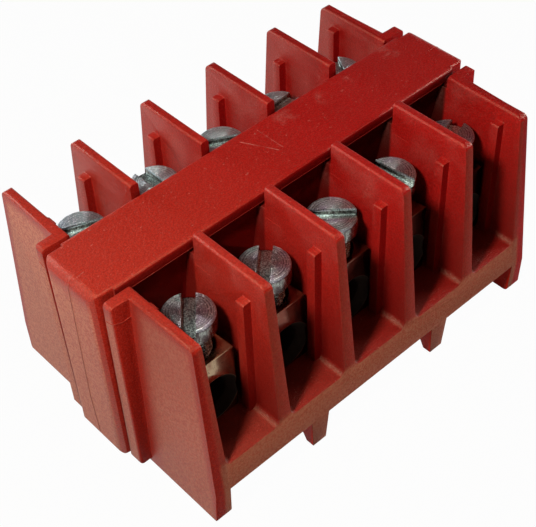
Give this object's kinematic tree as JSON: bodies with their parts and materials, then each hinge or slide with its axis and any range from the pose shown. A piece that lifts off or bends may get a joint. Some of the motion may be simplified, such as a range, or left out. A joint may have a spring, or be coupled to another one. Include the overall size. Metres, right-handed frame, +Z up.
{
  "type": "terminal strip",
  "caption": "Moulded barrier terminal strip with brass through bars and slotted clamp screws, taking wires from both long sides.",
  "frame": {"origin": "middle of the standing plane under the strip", "axes": "+X along the row of poles, +Y across it towards wire side b, +Z up"},
  "size_m": [0.0674, 0.0432, 0.0344],
  "materials": {
    "housing": "moulded, faintly speckled satin",
    "bars": "dull drawn bar",
    "screws": "turned, zinc plated"
  },
  "bodies": {
    "strip": {"housing": "housing", "bar_1": "bars", "bar_2": "bars", "bar_3": "bars", "bar_4": "bars", "bar_5": "bars"},
    "screw_a1": {"screw_a1": "screws"},
    "screw_a2": {"screw_a2": "screws"},
    "screw_a3": {"screw_a3": "screws"},
    "screw_a4": {"screw_a4": "screws"},
    "screw_a5": {"screw_a5": "screws"},
    "screw_b1": {"screw_b1": "screws"},
    "screw_b2": {"screw_b2": "screws"},
    "screw_b3": {"screw_b3": "screws"},
    "screw_b4": {"screw_b4": "screws"},
    "screw_b5": {"screw_b5": "screws"}
  },
  "joints": [
    {"name": "screw_a1_travel", "type": "slide", "parent": "strip", "child": "screw_a1", "axis": [0, 0, 1], "range_m": [-0.0036, 0.0024]},
    {"name": "screw_a2_travel", "type": "slide", "parent": "strip", "child": "screw_a2", "axis": [0, 0, 1], "range_m": [-0.003, 0.0024]},
    {"name": "screw_a3_travel", "type": "slide", "parent": "strip", "child": "screw_a3", "axis": [0, 0, 1], "range_m": [-0.0035, 0.0024]},
    {"name": "screw_a4_travel", "type": "slide", "parent": "strip", "child": "screw_a4", "axis": [0, 0, 1], "range_m": [-0.0036, 0.0024]},
    {"name": "screw_a5_travel", "type": "slide", "parent": "strip", "child": "screw_a5", "axis": [0, 0, 1], "range_m": [-0.0032, 0.0024]},
    {"name": "screw_b1_travel", "type": "slide", "parent": "strip", "child": "screw_b1", "axis": [0, 0, 1], "range_m": [-0.0027, 0.0024]},
    {"name": "screw_b2_travel", "type": "slide", "parent": "strip", "child": "screw_b2", "axis": [0, 0, 1], "range_m": [-0.003, 0.0024]},
    {"name": "screw_b3_travel", "type": "slide", "parent": "strip", "child": "screw_b3", "axis": [0, 0, 1], "range_m": [-0.0029, 0.0024]},
    {"name": "screw_b4_travel", "type": "slide", "parent": "strip", "child": "screw_b4", "axis": [0, 0, 1], "range_m": [-0.003, 0.0024]},
    {"name": "screw_b5_travel", "type": "slide", "parent": "strip", "child": "screw_b5", "axis": [0, 0, 1], "range_m": [-0.0029, 0.0024]}
  ]
}
